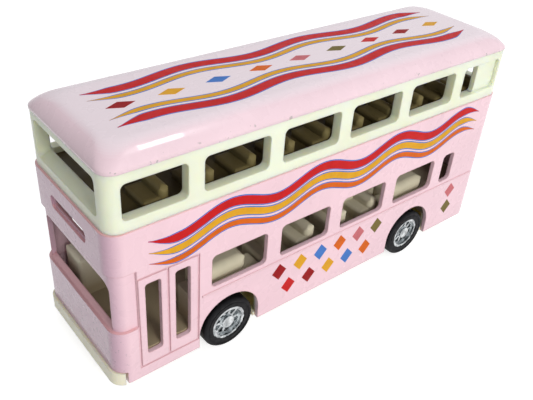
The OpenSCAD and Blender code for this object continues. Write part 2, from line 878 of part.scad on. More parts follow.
// Spring wheel with the arbor that the mainspring winds on
module spring_gear() {
    color(gear_white) difference() {
        union() {
            cross_gear(spring_x, spring_z, spring_teeth,
                spring_rise + half_turn + half_turn / spring_teeth, second_layer);
            cross_rod(spring_x, spring_z, arbor_radius, arbor_end, second_layer[0] + merge);
        }
        cross_rod(spring_x, spring_z, pin_radius + running_gap, -case_half, case_half);
    }
}

// Steel pins that the two loose gears turn on
module motor_pins() {
    reach = case_half - pin_cover;
    color(steel) {
        cross_rod(transfer_x, transfer_z, pin_radius, -reach, reach);
        cross_rod(spring_x, spring_z, pin_radius, -reach, reach);
    }
}

// Flat spiral of spring strip, its outer turn held in the cup of the case
module mainspring() {
    steps = spring_turns * 360 / spring_step;
    growth = (spring_outer + press - spring_strip - spring_inner) / steps;
    color(steel) translate([spring_x, spring_layer[1], spring_z]) rotate([90, 0, 0])
        linear_extrude(spring_layer[1] - spring_layer[0])
            polygon([for (side = [0, 1], j = [0 : steps])
                let (k = side == 0 ? j : steps - j, r = spring_inner + k * growth + side * spring_strip)
                [r * cos(k * spring_step), r * sin(k * spring_step)]]);
}

// One half of the motor case, open at the middle plane; the right half holds the spring's cup
module motor_half(side) {
    y0 = side > 0 ? 0 : -case_half;
    y1 = side > 0 ? case_half : 0;
    pin_end = case_half - pin_cover;
    color(motor_grey) difference() {
        union() {
            difference() {
                box(case_rear, case_front, y0, y1, case_bottom, case_top);
                box(case_rear + case_wall, case_front - case_wall,
                    case_wall - case_half, case_half - case_wall,
                    case_bottom + case_wall, case_top - case_wall);
            }
            for (x = [case_rear - case_flange, case_front - case_wall])
                box(x, x + case_flange + case_wall, max(y0, -case_flange_half), min(y1, case_flange_half),
                    chassis_floor, chassis_floor + case_flange_thick);
            if (side < 0)
                cross_rod(spring_x, spring_z, spring_outer + cup_wall, cup_sink - case_half, spring_layer[1]);
        }
        if (side < 0) cross_rod(spring_x, spring_z, spring_outer, spring_layer[0] - free_gap, over);
        cross_rod(rear_axle_x, axle_z, axle_radius + running_gap, -case_half - over, case_half + over);
        cross_rod(transfer_x, transfer_z, pin_radius - press, -pin_end, pin_end);
        cross_rod(spring_x, spring_z, pin_radius - press, -pin_end, pin_end);
    }
}

module front_axle() { axle(front_axle_x); }
module rear_axle() { axle(rear_axle_x); }
module front_hub_left() { hub(front_axle_x, 1); }
module front_hub_right() { hub(front_axle_x, -1); }
module rear_hub_left() { hub(rear_axle_x, 1); }
module rear_hub_right() { hub(rear_axle_x, -1); }
module front_tyre_left() { tyre(front_axle_x, 1); }
module front_tyre_right() { tyre(front_axle_x, -1); }
module rear_tyre_left() { tyre(rear_axle_x, 1); }
module rear_tyre_right() { tyre(rear_axle_x, -1); }
module motor_case_left() { motor_half(1); }
module motor_case_right() { motor_half(-1); }

body_shell();
window_band();
roof();
upper_deck();
lower_deck();
chassis();
chassis_screws();
front_axle();
front_hub_left();
front_hub_right();
front_tyre_left();
front_tyre_right();
rear_axle();
rear_hub_left();
rear_hub_right();
rear_tyre_left();
rear_tyre_right();
motor_case_left();
motor_case_right();
motor_pins();
axle_pinion();
transfer_gear();
spring_gear();
mainspring();
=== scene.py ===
"""Looks of a toy double-decker bus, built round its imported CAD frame."""
import math
import bpy
import bmesh
from mathutils import Matrix, Vector
from mathutils.geometry import delaunay_2d_cdt


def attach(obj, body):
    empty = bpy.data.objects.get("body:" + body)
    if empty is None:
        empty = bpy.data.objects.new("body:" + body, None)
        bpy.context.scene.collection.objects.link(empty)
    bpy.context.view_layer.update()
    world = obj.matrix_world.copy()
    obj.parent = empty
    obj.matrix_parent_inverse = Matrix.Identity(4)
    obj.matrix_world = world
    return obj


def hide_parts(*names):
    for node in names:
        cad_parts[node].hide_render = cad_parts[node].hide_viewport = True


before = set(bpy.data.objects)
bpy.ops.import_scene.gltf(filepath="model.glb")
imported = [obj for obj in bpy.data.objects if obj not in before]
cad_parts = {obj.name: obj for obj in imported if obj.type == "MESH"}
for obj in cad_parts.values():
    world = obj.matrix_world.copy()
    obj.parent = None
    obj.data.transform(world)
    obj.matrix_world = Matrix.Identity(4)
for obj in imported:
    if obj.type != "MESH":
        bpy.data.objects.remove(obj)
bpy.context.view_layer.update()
MM = 0.001


def box(name):
    """Low and high corner of a CAD node, in millimetres."""
    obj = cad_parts[name]
    points = [obj.matrix_world @ vertex.co / MM for vertex in obj.data.vertices]
    return [[round(end(p[k] for p in points), 3) for k in range(3)] for end in (min, max)]


# Sizes of the CAD nodes that the looks follow, in millimetres
BODY_BOX, BAND_BOX, ROOF_BOX = box("body_shell"), box("window_band"), box("roof")
AXLE_BOXES = box("front_axle"), box("rear_axle")
# How far the raised lines stand out from the body's sides
SIDE_BEAD = 0.2
HALF_WIDTH, SKIRT_Z, RIM_Z = BODY_BOX[1][1] - SIDE_BEAD, BODY_BOX[0][2], BODY_BOX[1][2]
BAND_TOP, CROWN_Z = BAND_BOX[1][2], ROOF_BOX[1][2]
ROOF_REAR, ROOF_FRONT, ROOF_HALF = ROOF_BOX[0][0], ROOF_BOX[1][0], ROOF_BOX[1][1]
AXLES = [(low[0] + high[0]) / 2 for low, high in AXLE_BOXES]

# Inner faces of the band, edges of the roof, arches and openings, in millimetres
BAND_INNER, BAND_FRONT, BAND_REAR = 14.8, 57.6, -59.6
ROOF_LIP, ROOF_CORNER = 0.6, 3.45
SIDE_SHOULDER, END_SHOULDER = 8.0, 6.0
ARCH_Z, ARCH_R = 7.9, 8.8
LOWER_SILL, LOWER_HEAD = 21.7, 30.9
LOWER_FIRST, LOWER_PITCH, LOWER_WIDTH, LOWER_COUNT = 29.3, 20.2, 15.9, 4
SMALL_X, SMALL_WIDTH = -45.7, 4.9
CAB_X, CAB_WIDTH, CAB_REAR = 48.9, 11.0, 48.0
DOOR_XS, DOOR_WIDTH, DOOR_SILL, DOOR_HEAD = (52.3, 44.9), 3.9, 10.8, 31.3
WINDOW_ROUND, DOOR_ROUND = 1.3, 0.8

# Roof skin: small edge of its lip, growth of its corners as they rise, and rings of its shoulder
LIP_EDGE, CORNER_GROWTH, DOME_RINGS = 0.06, 0.55, 16
# Steps round corners of the roof, the panel and the windows and over an arch
ROOF_STEPS, PANEL_STEPS, PANE_STEPS, ARCH_STEPS = 10, 6, 4, 15
# Turn in degrees from which an edge of the roof stays sharp
SHARP_TURN = 50

# Set-back panel in the rear part of the last upper window on the left
UPPER_SILL, UPPER_HEAD, BAY_REAR = 48.7, 57.2, -58.9
PANEL_FRONT, PANEL_FILLET, PANEL_SETBACK, PANEL_THICKNESS = -51.0, 0.9, 1.0, 1.5
PANEL_OUTER = BAND_BOX[1][1] - PANEL_SETBACK
PANEL_INNER = PANEL_OUTER - PANEL_THICKNESS

# Where paint, wear, painted shade and painted light change, from one place to another in millimetres
FRONT_FADE, LEDGE_FADE, CHIPS_FADE = (58.5, 61.6), (56.0, 57.0), (20.0, 17.0)
RIM_FADE, SCUFF_FADE = (RIM_Z - 1.6, RIM_Z - 0.8), (61.2, 60.4)
# Heights over which each deck goes from the painted shade of its floor to its seats
UPPER_SHADE_FADE, LOWER_SHADE_FADE = (46.5, 51.2), (13.0, 21.5)
# INNER_FADE and the band's front and rear fades bound the painted shade inside the band
INNER_FADE, CAB_FADE = (BAND_INNER, BAND_INNER + 0.4), (CAB_REAR, CAB_REAR + 1.0)
BAND_FRONT_FADE, BAND_REAR_FADE = (BAND_FRONT, BAND_FRONT - 0.6), (BAND_REAR, BAND_REAR + 0.6)

# Softened edges, reach of worn edges, depth of relief and of the glow in cream, in millimetres
PAINT_EDGE, BAND_EDGE, MOULDED_EDGE, PLATING_EDGE = 0.35, 0.4, 0.3, 0.12
WEAR_REACH, RELIEF_DEPTH, PLATING_RELIEF, GLOW_DEPTH = 0.6, 0.2, 0.4, 3.0
# Samples that softened and worn edges take
EDGE_SAMPLES, WEAR_SAMPLES = 4, 6

# Camera that matches the photograph's view, with its place in millimetres
IMAGE_W, FOCAL_PX, SENSOR_WIDTH, NEAREST = 533, 666.6, 36.0, 0.01
CAM_POS = (103.692, 110.774, 125.542)
CAM_RIGHT = (-0.78064, 0.62169, 0.06406)
CAM_DOWN = (0.31273, 0.47730, -0.82121)
CAM_FORWARD = (-0.54111, -0.62103, -0.56702)

# Floor and lights, in metres
WHITE = (1.0, 1.0, 1.0)
SKY_COLOR, SKY_HORIZON, SKY_ZENITH = (0.97, 0.98, 1.0), 0.22, 0.60
FLOOR_SIZE, FLOOR_DROP, FLOOR_ROUGHNESS = 3.0, 0.0001, 0.9
FLOOR_SHADE, FLOOR_GLOW = 0.60, 0.72
KEY_POWER, KEY_SIZE, KEY_COLOR = 2.15, 0.25, (1.0, 0.98, 0.95)
KEY_AT, KEY_AIM = (0.04, 0.52, 0.25), (0.0, 0.0, 0.03)
GLEAM_POWER, GLEAM_LENGTH, GLEAM_WIDTH = 0.45, 0.11, 0.045
GLEAM_AT, GLEAM_AIM = (-0.157, 0.020, 0.513), (0.05, 0.016, 0.062)

# Colours, linear
PINK = (0.84, 0.59, 0.66)
# The paler roof pink is a painted reflection of the sky on the roof's top
PINK_ROOF, PINK_TOP_SHEEN = (0.80, 0.61, 0.67), (0.84, 0.74, 0.79)
# Darker, bluer pink painted on the front face as its shade
PINK_FRONT_SHADE = (0.59, 0.38, 0.48)
# Salmon of paint worn thin at edges, also laid on the front ledges as painted light
WORN_AND_LIT_EDGE = (0.80, 0.42, 0.42)
SPECKS, CHIPS, SCUFFS = (0.30, 0.24, 0.24), (0.22, 0.18, 0.22), (0.30, 0.27, 0.26)
CREAM, CREAM_DEEP = (0.82, 0.87, 0.70), (0.76, 0.77, 0.55)
# Deck colours: the cream moulding painted dark as the shade inside the bus, floors darkest
UPPER_SEATS_SHADED, UPPER_FLOOR_SHADED, INSIDE_SHADE = (0.19, 0.155, 0.066), (0.04, 0.028, 0.008), 0.6
LOWER_SEATS_SHADED, LOWER_FLOOR_SHADED = (0.62, 0.58, 0.43), (0.34, 0.28, 0.18)
CAB_CREAM = (0.86, 0.81, 0.62)
CHASSIS_CREAM, CHASSIS_DEEP = (0.88, 0.84, 0.64), (0.78, 0.70, 0.48)
PLATING_DARK, PLATING_BRIGHT = (0.26, 0.28, 0.29), (0.66, 0.69, 0.70)
RUBBER, RUBBER_DUSTY = (0.004, 0.004, 0.005), (0.012, 0.012, 0.014)
STEEL, MOTOR_CASE, GEARS = (0.55, 0.56, 0.58), (0.05, 0.05, 0.055), (0.72, 0.71, 0.66)
INKS = {
    "dark_red": (0.30, 0.004, 0.006),
    "red": (0.55, 0.012, 0.012),
    "orange": (0.68, 0.13, 0.008),
    "amber": (0.72, 0.36, 0.02),
    "blue": (0.06, 0.19, 0.55),
    "olive": (0.17, 0.13, 0.03),
    "rose": (0.58, 0.16, 0.18),
}

# Printed film in millimetres: its thickness, the gap below which its corners join, and its borders
PRINT_LIFT, JOIN_GAP = 0.02, 0.0001
PRINT_REAR, PRINT_FRONT, PRINT_LOW, PRINT_HIGH = -57.5, 56.9, SKIRT_Z + 0.3, RIM_Z - 0.4
ROOF_PRINT_REAR, ROOF_PRINT_FRONT, ROOF_PRINT_HALF = -56.0, 56.2, 11.3
# Turn in degrees below which faces of the film join
FLAT_ANGLE = 0.3
# Kind of result asked of the triangulation: triangles inside the outlines
INSIDE_TRIANGLES = 1

# Print: waving ribbons as (ink, middle, half-width), and rows of diamonds as (first, height, count)
WAVE_STEP, OUTLINE = 1.0, 0.28
# Share of a ribbon over which it narrows, and the least share of its width at the tips
WAVE_TAPER, WAVE_LEAST = 0.06, 0.08
SIDE_FROM, SIDE_TO, SIDE_SWING, SIDE_PERIOD = 53.0, -55.0, 1.7, 27.0
SIDE_RIBBONS = (("red", 42.1, 1.1), ("amber", 39.1, 0.9), ("orange", 36.3, 0.7))
SIDE_ROWS, SIDE_PITCH, TAIL_X = ((16.75, 16.6, 6), (13.25, 10.6, 5)), 7.0, -50.5
SIDE_DIAMOND = (2.3, 2.6)
ROOF_FROM, ROOF_TO, ROOF_SWING, ROOF_PERIOD = 53.0, -53.0, 1.2, 35.0
ROOF_RIBBONS = (("red", 8.1, 1.3), ("amber", 4.8, 0.7))
ROOF_ROW_X, ROOF_PITCH, ROOF_COUNT = 48.0, 12.0, 9
ROOF_DIAMOND = (3.4, 1.5)
DIAMOND_INKS = ("dark_red", "amber", "blue", "orange", "rose", "olive", "red")


# Node helpers
class Shader:
    """A Principled material and short ways to feed it."""

    def __init__(self, name):
        self.material = bpy.data.materials.new(name)
        self.material.use_nodes = True
        self.tree = self.material.node_tree
        self.bsdf = next(n for n in self.tree.nodes if n.type == "BSDF_PRINCIPLED")
        self.coords = self.tree.nodes.new("ShaderNodeTexCoord").outputs["Object"]

    def set(self, **values):
        """Sets sockets of the shader, with underscores for the spaces in their names."""
        for name, value in values.items():
            self.bsdf.inputs[name.replace("_", " ")].default_value = value
        return self

    def link(self, socket, name):
        """Feeds a socket of the shader."""
        self.tree.links.new(socket, self.bsdf.inputs[name])
        return self

    def noise(self, scale, detail=3.0):
        n = self.tree.nodes.new("ShaderNodeTexNoise")
        n.inputs["Scale"].default_value = scale
        n.inputs["Detail"].default_value = detail
        self.tree.links.new(self.coords, n.inputs["Vector"])
        return n.outputs["Fac"]

    def span(self, fac, low, high, out_low, out_high):
        """Maps one range of a value to another."""
        n = self.tree.nodes.new("ShaderNodeMapRange")
        for key, value in (("From Min", low), ("From Max", high), ("To Min", out_low), ("To Max", out_high)):
            n.inputs[key].default_value = value
        self.tree.links.new(fac, n.inputs["Value"])
        return n.outputs["Result"]

    def part(self, vector, letter):
        n = self.tree.nodes.new("ShaderNodeSeparateXYZ")
        self.tree.links.new(vector, n.inputs[0])
        return n.outputs[letter]

    def axis(self, letter):
        """Place along an axis, in metres."""
        return self.part(self.coords, letter)

    def ramp(self, letter, fade, low=0.0, high=1.0):
        """Change along an axis between two places in millimetres."""
        return self.span(self.axis(letter), fade[0] * MM, fade[1] * MM, low, high)

    def patches(self, scale, low, high, most=1.0, detail=3.0):
        """Cloudy patches, from none at the low noise level to most at the high one."""
        return self.span(self.noise(scale, detail), low, high, 0.0, most)

    def rough(self, scale, low, high):
        """Roughness that wanders between two values."""
        return self.link(self.span(self.noise(scale), 0.3, 0.7, low, high), "Roughness")

    def work_out(self, operation, *values):
        n = self.tree.nodes.new("ShaderNodeMath")
        n.operation = operation
        for value, socket in zip(values, n.inputs):
            self.tree.links.new(value, socket)
        return n.outputs[0]

    def absolute(self, a):
        return self.work_out("ABSOLUTE", a)

    def times(self, a, b):
        return self.work_out("MULTIPLY", a, b)

    def mix(self, fac, a, b):
        """Mixes two colours, each a tuple or a socket."""
        n = self.tree.nodes.new("ShaderNodeMix")
        n.data_type = "RGBA"
        self.tree.links.new(fac, n.inputs["Factor"])
        for name, value in (("A", a), ("B", b)):
            socket = next(s for s in n.inputs if s.name == name and s.type == "RGBA")
            if isinstance(value, tuple):
                socket.default_value = (*value, 1.0)
            else:
                self.tree.links.new(value, socket)
        return next(s for s in n.outputs if s.type == "RGBA")

    def flat_normal(self):
        return self.tree.nodes.new("ShaderNodeNewGeometry").outputs["True Normal"]

    def soft_normal(self, radius, samples):
        """Normal whose edges are softened over a radius in millimetres."""
        n = self.tree.nodes.new("ShaderNodeBevel")
        n.samples = samples
        n.inputs["Radius"].default_value = radius * MM
        return n.outputs["Normal"]

    def upward(self):
        """How far a face looks up, 1 for straight up."""
        return self.part(self.flat_normal(), "Z")

    def edges(self, radius, low, high):
        """How near a sharp edge is, from the turn of a softened normal."""
        n = self.tree.nodes.new("ShaderNodeVectorMath")
        n.operation = "DOT_PRODUCT"
        self.tree.links.new(self.soft_normal(radius, WEAR_SAMPLES), n.inputs[0])
        self.tree.links.new(self.flat_normal(), n.inputs[1])
        return self.span(n.outputs["Value"], 1.0 - low, 1.0 - high, 0.0, 1.0)

    def relief(self, scale, strength, edge=0.0, depth=None, detail=2.0):
        """Fine bump, with softened edges where edge gives a radius, both in millimetres."""
        n = self.tree.nodes.new("ShaderNodeBump")
        n.inputs["Strength"].default_value = strength
        n.inputs["Distance"].default_value = (depth or RELIEF_DEPTH) * MM
        self.tree.links.new(self.noise(scale, detail), n.inputs["Height"])
        if edge:
            self.tree.links.new(self.soft_normal(edge, EDGE_SAMPLES), n.inputs["Normal"])
        return self.link(n.outputs["Normal"], "Normal")


def shade(color, factor):
    """The colour, made darker by the factor."""
    return tuple(c * factor for c in color)


# Materials
def front_shade_and_wear(s, color):
    """Front painted darker and bluer as painted shade, with chips low down, its upward ledges painted salmon
    as worn paint and painted light, and reddish worn edges, most along the rim.
    """
    # Painted shade: the front face goes to the darker, bluer pink
    front = s.ramp("X", FRONT_FADE)
    color = s.mix(front, color, PINK_FRONT_SHADE)
    chips = s.times(s.times(front, s.ramp("Z", CHIPS_FADE)), s.patches(1500.0, 0.64, 0.67, 0.7, 2.0))
    color = s.mix(chips, color, CHIPS)
    # Upward faces of the front ledges: salmon worn paint, and painted light from above
    worn_lit_ledge = s.times(s.ramp("X", LEDGE_FADE), s.span(s.upward(), 0.4, 0.8, 0.0, 0.7))
    color = s.mix(worn_lit_ledge, color, WORN_AND_LIT_EDGE)
    edges = s.times(s.edges(WEAR_REACH, 0.02, 0.25), s.ramp("Z", RIM_FADE, 0.45, 0.95))
    return s.mix(edges, color, WORN_AND_LIT_EDGE)


def roof_sheen_and_wear(s, color):
    """Paler top as a painted reflection of the bright sky, and dark scuffs round the lower edge."""
    # Painted reflection: faces that look up are paled
    color = s.mix(s.span(s.upward(), 0.90, 0.99, 0.0, 0.8), color, PINK_TOP_SHEEN)
    scuffs = s.times(s.ramp("Z", SCUFF_FADE), s.patches(420.0, 0.66, 0.69, 0.65))
    return s.mix(scuffs, color, SCUFFS)


def pink_paint(name, base, wear_and_light):
    """Glossy enamel with faint clouding and fine dirt specks, worn and given painted light and shade as the
    given function says.
    """
    s = Shader(name).set(Coat_Weight=0.35, Coat_Roughness=0.03, Specular_IOR_Level=0.25)
    cloud = s.mix(s.patches(90.0, 0.35, 0.65), shade(base, 0.95), base)
    color = s.mix(s.patches(1900.0, 0.79, 0.81, 0.5, 1.0), cloud, SPECKS)
    s.link(wear_and_light(s, color), "Base Color").rough(260.0, 0.22, 0.34)
    return s.relief(700.0, 0.05, PAINT_EDGE).material


def cream_plastic(name, base, deep, edge, inner=None):
    """Cream moulding, yellowed in patches, with a soft sheen, and painted dark inside as shade where inner
    is given.
    """
    s = Shader(name).set(Coat_Weight=0.1, Coat_Roughness=0.2, Specular_IOR_Level=0.3, Subsurface_Weight=0.4,
                         Subsurface_Radius=(1.0, 0.8, 0.35), Subsurface_Scale=GLOW_DEPTH * MM)
    color = s.mix(s.patches(70.0, 0.4, 0.7, 0.5), base, deep)
    if inner:
        # Painted shade: the band's inner faces take the dark inner colour
        depth = s.span(s.absolute(s.axis("Y")), INNER_FADE[0] * MM, INNER_FADE[1] * MM, 1.0, 0.0)
        middle = s.times(s.times(depth, s.ramp("X", BAND_FRONT_FADE)), s.ramp("X", BAND_REAR_FADE))
        color = s.mix(middle, color, inner)
    s.link(color, "Base Color").rough(300.0, 0.30, 0.42)
    return s.relief(900.0, 0.06, edge).material


def deck_plastic(name, seats, floor, shade_fade, ahead=None):
    """Dull deck moulding painted dark as the shade inside the bus, darkest with painted shade low down
    between the seats, paler up front where ahead is given.
    """
    s = Shader(name).set(Specular_IOR_Level=0.2)
    worn = s.mix(s.patches(180.0, 0.4, 0.7, 0.5), seats, shade(seats, 0.8))
    if ahead:
        worn = s.mix(s.ramp("X", CAB_FADE), worn, ahead)
    # Painted shade: darker low down between the seats
    s.link(s.mix(s.ramp("Z", shade_fade), floor, worn), "Base Color").rough(300.0, 0.45, 0.60)
    return s.relief(900.0, 0.06, MOULDED_EDGE).material


def plated(name):
    """Bright plating with small ripples."""
    s = Shader(name).set(Metallic=1.0)
    color = s.mix(s.patches(700.0, 0.35, 0.65), PLATING_DARK, PLATING_BRIGHT)
    s.link(color, "Base Color").rough(1200.0, 0.10, 0.26)
    return s.relief(1000.0, 0.6, PLATING_EDGE, PLATING_RELIEF).material


def tyre_rubber(name):
    """Black moulded rubber with dusty patches."""
    s = Shader(name).set(Specular_IOR_Level=0.2)
    color = s.mix(s.patches(600.0, 0.45, 0.75, 0.5), RUBBER, RUBBER_DUSTY)
    s.link(color, "Base Color").rough(800.0, 0.5, 0.75)
    return s.relief(2500.0, 0.15, detail=3.0).material


def plain_part(name, base, metallic, rough):
    """Small inner pieces: steel, motor case and gears."""
    s = Shader(name).set(Metallic=metallic)
    color = s.mix(s.noise(500.0), shade(base, 0.82), base)
    s.link(color, "Base Color").rough(700.0, rough * 0.8, rough * 1.2)
    return s.relief(1500.0, 0.08).material


def ink(name, base):
    """Printed ink with slightly uneven cover."""
    s = Shader(name).set(Specular_IOR_Level=0.1)
    color = s.mix(s.patches(420.0, 0.4, 0.75, 0.6), base, shade(base, 0.78))
    s.link(color, "Base Color").rough(500.0, 0.38, 0.52)
    return s.relief(1800.0, 0.04).material


def dress_nodes():
    """Gives every CAD node its material, by its name or by a word in its name."""
    body = pink_paint("body_enamel", PINK, front_shade_and_wear)
    # The last colour paints the shade inside the band
    band = cream_plastic("band_cream", CREAM, CREAM_DEEP, BAND_EDGE, shade(UPPER_SEATS_SHADED, INSIDE_SHADE))
    upper = deck_plastic("upper_deck_cream", UPPER_SEATS_SHADED, UPPER_FLOOR_SHADED, UPPER_SHADE_FADE)
    lower = deck_plastic("lower_deck_cream", LOWER_SEATS_SHADED, LOWER_FLOOR_SHADED, LOWER_SHADE_FADE, CAB_CREAM)
    base = cream_plastic("chassis_cream", CHASSIS_CREAM, CHASSIS_DEEP, MOULDED_EDGE)
    chrome, rubber = plated("hub_plating"), tyre_rubber("tyre_rubber")
    steel = plain_part("bright_steel", STEEL, 1.0, 0.3)
    case = plain_part("motor_plastic", MOTOR_CASE, 0.0, 0.5)
    gear = plain_part("gear_plastic", GEARS, 0.0, 0.45)
    by_name = {"body_shell": body, "roof": body, "window_band": band, "upper_deck": upper,
               "lower_deck": lower, "chassis": base, "motor_case_left": case, "motor_case_right": case}
    by_word = (("hub", chrome), ("tyre", rubber), ("gear", gear), ("pinion", gear))
    for name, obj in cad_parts.items():
        chosen = by_name.get(name) or next((m for word, m in by_word if word in name), steel)
        obj.data.materials.clear()
        obj.data.materials.append(chosen)


# Mesh helpers
def new_object(name, bm, material, smooth_angle=None):
    mesh = bpy.data.meshes.new(name)
    bmesh.ops.recalc_face_normals(bm, faces=bm.faces)
    bm.to_mesh(mesh)
    bm.free()
    mesh.materials.append(material)
    if smooth_angle:
        for p in mesh.polygons:
            p.use_smooth = True
        mesh.set_sharp_from_angle(angle=math.radians(smooth_angle))
    obj = bpy.data.objects.new(name, mesh)
    bpy.context.collection.objects.link(obj)
    return obj


def arc(x, y, radius, start, turn, steps):
    """Points of an arc from a starting angle over a turn, both in degrees."""
    angles = [math.radians(start + turn * k / steps) for k in range(steps + 1)]
    return [(x + radius * math.cos(a), y + radius * math.sin(a)) for a in angles]


def rounded(x0, x1, y0, y1, radius, steps):
    """Points round a rectangle with round corners, counter-clockwise."""
    left, right, low, high = x0 + radius, x1 - radius, y0 + radius, y1 - radius
    points = []
    for cx, cy, start in ((right, high, 0), (left, high, 90), (left, low, 180), (right, low, 270)):
        points += arc(cx, cy, radius, start, 90, steps)
    return points


def skin(rings):
    """Closed skin over rings of points in millimetres, with a face on the first and the last."""
    bm = bmesh.new()
    loops = [[bm.verts.new(Vector(p) * MM) for p in ring] for ring in rings]
    for low, high in zip(loops, loops[1:]):
        for k in range(len(low)):
            n = (k + 1) % len(low)
            bm.faces.new((low[k], low[n], high[n], high[k]))
    bm.faces.new(loops[-1])
    bm.faces.new(loops[0][::-1])
    return bm


# Roof
def shoulder_inset(z, shoulder):
    """How far the shoulder lies inside the lip at a height."""
    drop = CROWN_Z - BAND_TOP - ROOF_LIP
    reach = math.sqrt(drop * (2 * shoulder - drop))
    rise = z - (CROWN_Z - shoulder)
    return reach - math.sqrt(max(shoulder ** 2 - rise ** 2, 0.0))


def roof_dome():
    """Outer skin of the roof: a lip and shoulders that round into one another at the corners."""
    lip_top = BAND_TOP + ROOF_LIP
    heights = [BAND_TOP, BAND_TOP + LIP_EDGE, lip_top - LIP_EDGE]
    turns = [math.radians(90 * k / DOME_RINGS) for k in range(DOME_RINGS + 1)]
    heights += [lip_top + (CROWN_Z - lip_top) * math.sin(turn) for turn in turns]
    rings = []
    for z in heights:
        top = max(z, lip_top)
        dx, dy = shoulder_inset(top, END_SHOULDER), shoulder_inset(top, SIDE_SHOULDER)
        tuck = LIP_EDGE if z == BAND_TOP else 0.0
        half = ROOF_HALF - dy - tuck
        corner = ROOF_CORNER + CORNER_GROWTH * dx
        ring = rounded(ROOF_REAR + dx + tuck, ROOF_FRONT - dx - tuck, -half, half, corner, ROOF_STEPS)
        rings.append([(x, y, z) for x, y in ring])
    paint = pink_paint("roof_enamel", PINK_ROOF, roof_sheen_and_wear)
    return new_object("roof_dome", skin(rings), paint, SHARP_TURN)


# Panel in the band
def rear_bay_panel():
    """Plate that fits the window's rear corners and meets its sill and head in fillets."""
    ahead, behind = PANEL_FRONT + PANEL_FILLET, BAY_REAR + WINDOW_ROUND
    outline = arc(ahead, UPPER_SILL + PANEL_FILLET, PANEL_FILLET, 270, -90, PANEL_STEPS)
    outline += arc(ahead, UPPER_HEAD - PANEL_FILLET, PANEL_FILLET, 180, -90, PANEL_STEPS)
    outline += arc(behind, UPPER_HEAD - WINDOW_ROUND, WINDOW_ROUND, 90, 90, PANEL_STEPS)
    outline += arc(behind, UPPER_SILL + WINDOW_ROUND, WINDOW_ROUND, 180, 90, PANEL_STEPS)
    faces = [[(x, y, z) for x, z in outline] for y in (PANEL_INNER, PANEL_OUTER)]
    return new_object("rear_bay_panel", skin(faces), bpy.data.materials["band_cream"])


# Printed shapes as convex outlines on a flat panel
def diamond(x, y, half_long, half_tall):
    return [[(x - half_long, y), (x, y - half_tall), (x + half_long, y), (x, y + half_tall)]]


def ribbon(start, end, middle, swing, period, half):
    """Waving ribbon that narrows to its tips, as triangles."""
    count = round(abs(end - start) / WAVE_STEP)
    edges = []
    for k in range(count + 1):
        share = k / count
        x = start + (end - start) * share
        turn = 2 * math.pi * (x - start) / period
        slope = swing * 2 * math.pi / period * math.cos(turn)
        y = middle + swing * math.sin(turn)
        narrow = min(1.0, share / WAVE_TAPER, (1 - share) / WAVE_TAPER)
        reach = half * max(WAVE_LEAST, narrow) / math.hypot(1.0, slope)
        edges.append(((x - slope * reach, y + reach), (x + slope * reach, y - reach)))
    return [corner for a, b in zip(edges, edges[1:]) for corner in ([a[1], b[1], b[0]], [a[1], b[0], a[0]])]


def ribbons(rows, start, end, swing, period):
    """Outlined ribbons side by side, as (ink, outlines)."""
    art = []
    for color, middle, half in rows:
        art.append(("blue", ribbon(start, end, middle, swing, period, half + OUTLINE)))
        art.append((color, ribbon(start, end, middle, swing, period, half)))
    return art


def diamonds(places, halves):
    """Diamonds at the places, with the inks in turn, as (ink, outlines)."""
    return [(DIAMOND_INKS[k % len(DIAMOND_INKS)], diamond(x, y, *halves)) for k, (x, y) in enumerate(places)]


def twice_area(outline):
    return sum(a[0] * b[1] - b[0] * a[1] for a, b in zip(outline, outline[1:] + outline[:1]))


def counter_clockwise(outline):
    return outline if twice_area(outline) > 0 else outline[::-1]


def pane(x, width, z0, z1, radius=WINDOW_ROUND):
    """Outline of a window."""
    return rounded(x - width / 2, x + width / 2, z0, z1, radius, PANE_STEPS)


def arch(x):
    """Outline of a wheel arch, down to the ground."""
    return arc(x, ARCH_Z, ARCH_R, 0, 180, ARCH_STEPS) + [(x - ARCH_R, 0.0), (x + ARCH_R, 0.0)]


def side_holes(left):
    """Outlines of the windows, arches and doors on one side."""
    windows = [(LOWER_FIRST - k * LOWER_PITCH, LOWER_WIDTH) for k in range(LOWER_COUNT)]
    windows.append((SMALL_X, SMALL_WIDTH))
    holes = [pane(x, width, LOWER_SILL, LOWER_HEAD) for x, width in windows] + [arch(x) for x in AXLES]
    if left:
        return holes + [pane(x, DOOR_WIDTH, DOOR_SILL, DOOR_HEAD, DOOR_ROUND) for x in DOOR_XS]
    return holes + [pane(CAB_X, CAB_WIDTH, LOWER_SILL, LOWER_HEAD)]


def rectangle(x0, x1, y0, y1):
    return [(x0, y0), (x1, y0), (x1, y1), (x0, y1)]


def ink_areas(art, holes, limit):
    """Splits a panel into triangles of one ink each, where a later shape covers an earlier one."""
    corners, faces, owners = [], [], []

    def add(outline, owner):
        faces.append(list(range(len(corners), len(corners) + len(outline))))
        corners.extend(Vector(p) for p in counter_clockwise(outline))
        owners.append(owner)

    for order, (color, shapes) in enumerate(art):
        for outline in shapes:
            add(outline, order)
    for hole in holes:
        add(hole, "hole")
    add(limit, "limit")
    points, _, pieces, _, _, sources = delaunay_2d_cdt(corners, [], faces, INSIDE_TRIANGLES, JOIN_GAP)
    areas = {}
    for piece, source in zip(pieces, sources):
        found = [owners[i] for i in source]
        orders = [owner for owner in found if isinstance(owner, int)]
        if orders and "limit" in found and "hole" not in found:
            areas.setdefault(art[max(orders)][0], []).append(piece)
    return points, areas


